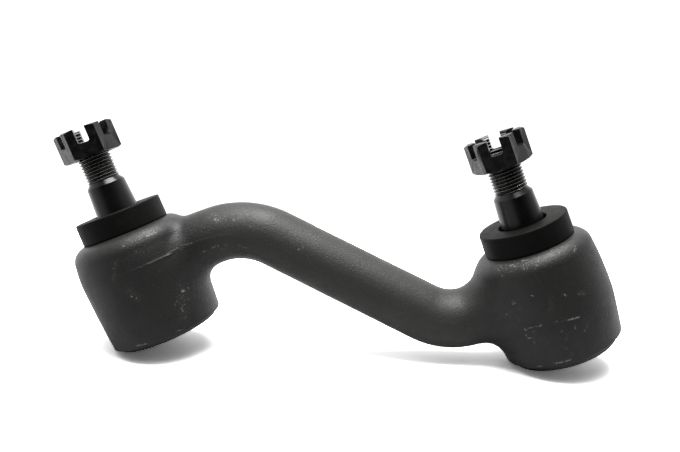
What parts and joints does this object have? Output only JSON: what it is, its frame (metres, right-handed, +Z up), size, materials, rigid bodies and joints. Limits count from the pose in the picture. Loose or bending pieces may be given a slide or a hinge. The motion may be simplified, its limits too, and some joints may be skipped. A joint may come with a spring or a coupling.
{
  "type": "idler arm",
  "caption": "Cranked forged steering idler arm with a tapered ball stud, slotted nut and flat dust seal at each end.",
  "frame": {"origin": "on the pivot stud's axis, in the plane of its dust seal's upper face, where the mating boss rests on the taper", "axes": "+Z up along both parallel studs, +X from the high pivot stud to the low link stud, +Y across the arm, away from the viewer of the picture"},
  "size_m": [0.2157, 0.0532, 0.1603],
  "materials": {
    "forging_finish": "matt dark grey coat over a shot-blasted forging",
    "stud_black": "turned steel, satin black oxide",
    "nut_black": "black oxide with a light oil",
    "seal_rubber": "matt black rubber",
    "bearing_steel": "ground steel under grease",
    "spring_steel": "plain spring steel",
    "cover_steel": "pressed plate, coated as the forging"
  },
  "bodies": {
    "arm": {"arm_forging": "forging_finish", "pivot_seal": "seal_rubber", "pivot_cup": "bearing_steel", "pivot_spring": "spring_steel", "pivot_cover": "cover_steel", "link_seal": "seal_rubber", "link_cup": "bearing_steel", "link_spring": "spring_steel", "link_cover": "cover_steel"},
    "pivot_race_body": {"pivot_race": "bearing_steel"},
    "pivot_swivel_body": {"pivot_swivel": "bearing_steel"},
    "pivot_stud_body": {"pivot_stud": "stud_black"},
    "pivot_nut_body": {"pivot_nut": "nut_black"},
    "link_race_body": {"link_race": "bearing_steel"},
    "link_swivel_body": {"link_swivel": "bearing_steel"},
    "link_stud_body": {"link_stud": "stud_black"},
    "link_nut_body": {"link_nut": "nut_black"}
  },
  "joints": [
    {"name": "pivot_race_turn", "type": "hinge", "parent": "arm", "child": "pivot_race_body", "pos_m": [0, 0, -0.0301], "axis": [0, 0, 1], "continuous": true},
    {"name": "pivot_swing", "type": "hinge", "parent": "pivot_race_body", "child": "pivot_swivel_body", "pos_m": [0, 0, -0.0301], "axis": [0, 1, 0], "range_deg": [-12, 12], "deforming": ["pivot_seal"]},
    {"name": "pivot_spin", "type": "hinge", "parent": "pivot_swivel_body", "child": "pivot_stud_body", "pos_m": [0, 0, -0.0301], "axis": [0, 0, 1], "continuous": true},
    {"name": "pivot_nut_travel", "type": "slide", "parent": "pivot_stud_body", "child": "pivot_nut_body", "axis": [0, 0, 1], "range_m": [-0.009, 0.012]},
    {"name": "link_race_turn", "type": "hinge", "parent": "arm", "child": "link_race_body", "pos_m": [0.1625, 0, -0.0942], "axis": [0, 0, 1], "continuous": true},
    {"name": "link_swing", "type": "hinge", "parent": "link_race_body", "child": "link_swivel_body", "pos_m": [0.1625, 0, -0.0942], "axis": [0, 1, 0], "range_deg": [-12, 12], "deforming": ["link_seal"]},
    {"name": "link_spin", "type": "hinge", "parent": "link_swivel_body", "child": "link_stud_body", "pos_m": [0.1625, 0, -0.0942], "axis": [0, 0, 1], "continuous": true},
    {"name": "link_nut_travel", "type": "slide", "parent": "link_stud_body", "child": "link_nut_body", "axis": [0, 0, 1], "range_m": [-0.009, 0.012]}
  ]
}
